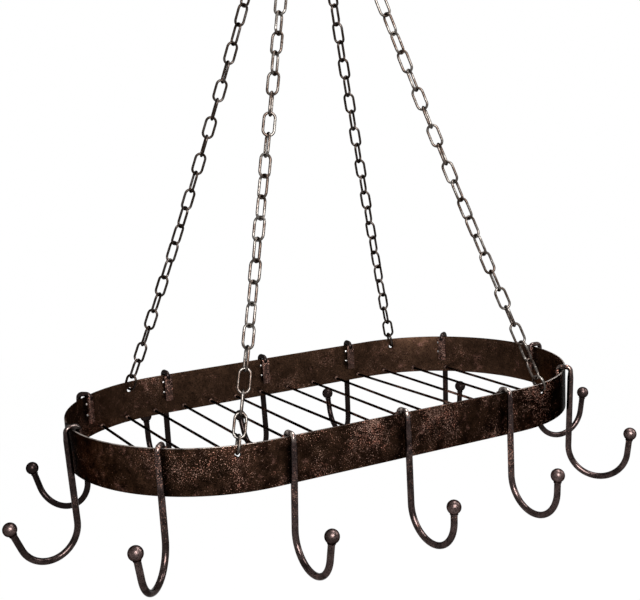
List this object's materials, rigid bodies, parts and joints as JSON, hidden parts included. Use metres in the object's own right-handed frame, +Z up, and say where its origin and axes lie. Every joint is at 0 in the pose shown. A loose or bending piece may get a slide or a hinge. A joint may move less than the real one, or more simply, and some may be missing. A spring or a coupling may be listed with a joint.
{
  "type": "hanging_pot_rack",
  "caption": "Hanging pot rack: an oval flat-bar band with a wire grid, ball-tip hooks that slide on its rim, and chains meeting at a ring on a ceiling hook",
  "frame": {"origin": "middle of the ceiling plate's top face, where it meets the ceiling", "axes": "+Z up and out of the ceiling plate's top face, X along the rack's long side, front towards -Y"},
  "size_m": [1.0354, 0.6705, 1.1203],
  "materials": {
    "band_iron": "speckled dark bronze powder coat, satin",
    "wire_iron": "dark bronze coat, satin",
    "chain_steel": "bronzed steel worn bright on the rounds",
    "ball_iron": "dark bronze coat, semi-gloss",
    "hook_iron": "speckled dark bronze coat, satin",
    "fitting_iron": "dark bronze coat, satin"
  },
  "bodies": {
    "ceiling_fitting": {"ceiling_plate": "fitting_iron", "ceiling_hook": "fitting_iron"},
    "ring": {"gathering_ring": "fitting_iron"},
    "rack": {"band": "band_iron", "grid_wire_01": "wire_iron", "grid_wire_02": "wire_iron", "grid_wire_03": "wire_iron", "grid_wire_04": "wire_iron", "grid_wire_05": "wire_iron", "grid_wire_06": "wire_iron", "grid_wire_07": "wire_iron", "grid_wire_08": "wire_iron", "grid_wire_09": "wire_iron", "grid_wire_10": "wire_iron", "grid_wire_11": "wire_iron", "grid_wire_12": "wire_iron", "grid_wire_13": "wire_iron", "grid_wire_14": "wire_iron", "grid_wire_15": "wire_iron", "chain_left_front": "chain_steel", "chain_left_back": "chain_steel", "chain_right_front": "chain_steel", "chain_right_back": "chain_steel", "end_link_left_front": "chain_steel", "end_link_left_back": "chain_steel", "end_link_right_front": "chain_steel", "end_link_right_back": "chain_steel", "triangle_link_left": "fitting_iron", "triangle_link_right": "fitting_iron"},
    "hook_front_left_body": {"hook_front_left": "hook_iron", "hook_ball_front_left": "ball_iron"},
    "hook_front_middle_body": {"hook_front_middle": "hook_iron", "hook_ball_front_middle": "ball_iron"},
    "hook_front_right_body": {"hook_front_right": "hook_iron", "hook_ball_front_right": "ball_iron"},
    "hook_back_left_body": {"hook_back_left": "hook_iron", "hook_ball_back_left": "ball_iron"},
    "hook_back_middle_body": {"hook_back_middle": "hook_iron", "hook_ball_back_middle": "ball_iron"},
    "hook_back_right_body": {"hook_back_right": "hook_iron", "hook_ball_back_right": "ball_iron"},
    "hook_left_front_body": {"hook_left_front": "hook_iron", "hook_ball_left_front": "ball_iron"},
    "hook_left_tip_body": {"hook_left_tip": "hook_iron", "hook_ball_left_tip": "ball_iron"},
    "hook_left_back_body": {"hook_left_back": "hook_iron", "hook_ball_left_back": "ball_iron"},
    "hook_right_front_body": {"hook_right_front": "hook_iron", "hook_ball_right_front": "ball_iron"},
    "hook_right_tip_body": {"hook_right_tip": "hook_iron", "hook_ball_right_tip": "ball_iron"},
    "hook_right_back_body": {"hook_right_back": "hook_iron", "hook_ball_right_back": "ball_iron"}
  },
  "joints": [
    {"name": "ring_on_ceiling_hook", "type": "hinge", "parent": "ceiling_fitting", "child": "ring", "pos_m": [0, 0, -0.0565], "axis": [0, 1, 0], "range_deg": [-15, 15]},
    {"name": "rack_on_ring", "type": "hinge", "parent": "ring", "child": "rack", "pos_m": [0, 0, -0.08892], "axis": [1, 0, 0], "range_deg": [-15, 15]},
    {"name": "hook_front_left_slide", "type": "slide", "parent": "rack", "child": "hook_front_left_body", "axis": [1, 0, 0], "range_m": [-0.035, 0.035]},
    {"name": "hook_front_middle_slide", "type": "slide", "parent": "rack", "child": "hook_front_middle_body", "axis": [1, 0, 0], "range_m": [-0.035, 0.035]},
    {"name": "hook_front_right_slide", "type": "slide", "parent": "rack", "child": "hook_front_right_body", "axis": [1, 0, 0], "range_m": [-0.035, 0.035]},
    {"name": "hook_back_left_slide", "type": "slide", "parent": "rack", "child": "hook_back_left_body", "axis": [1, 0, 0], "range_m": [-0.035, 0.035]},
    {"name": "hook_back_middle_slide", "type": "slide", "parent": "rack", "child": "hook_back_middle_body", "axis": [1, 0, 0], "range_m": [-0.035, 0.035]},
    {"name": "hook_back_right_slide", "type": "slide", "parent": "rack", "child": "hook_back_right_body", "axis": [1, 0, 0], "range_m": [-0.035, 0.035]},
    {"name": "hook_left_front_swing_round_end", "type": "hinge", "parent": "rack", "child": "hook_left_front_body", "pos_m": [-0.19489, -0.00997, -0.9347], "axis": [0, 0, 1], "range_deg": [-10, 10]},
    {"name": "hook_left_tip_swing_round_end", "type": "hinge", "parent": "rack", "child": "hook_left_tip_body", "pos_m": [-0.17713, 0, -0.9347], "axis": [0, 0, 1], "range_deg": [-10, 10]},
    {"name": "hook_left_back_swing_round_end", "type": "hinge", "parent": "rack", "child": "hook_left_back_body", "pos_m": [-0.19467, 0.00974, -0.9347], "axis": [0, 0, 1], "range_deg": [-10, 10]},
    {"name": "hook_right_front_swing_round_end", "type": "hinge", "parent": "rack", "child": "hook_right_front_body", "pos_m": [0.19553, -0.01066, -0.9347], "axis": [0, 0, 1], "range_deg": [-10, 10]},
    {"name": "hook_right_tip_swing_round_end", "type": "hinge", "parent": "rack", "child": "hook_right_tip_body", "pos_m": [0.17715, 0, -0.9347], "axis": [0, 0, 1], "range_deg": [-10, 10]},
    {"name": "hook_right_back_swing_round_end", "type": "hinge", "parent": "rack", "child": "hook_right_back_body", "pos_m": [0.19502, 0.0101, -0.9347], "axis": [0, 0, 1], "range_deg": [-10, 10]}
  ]
}
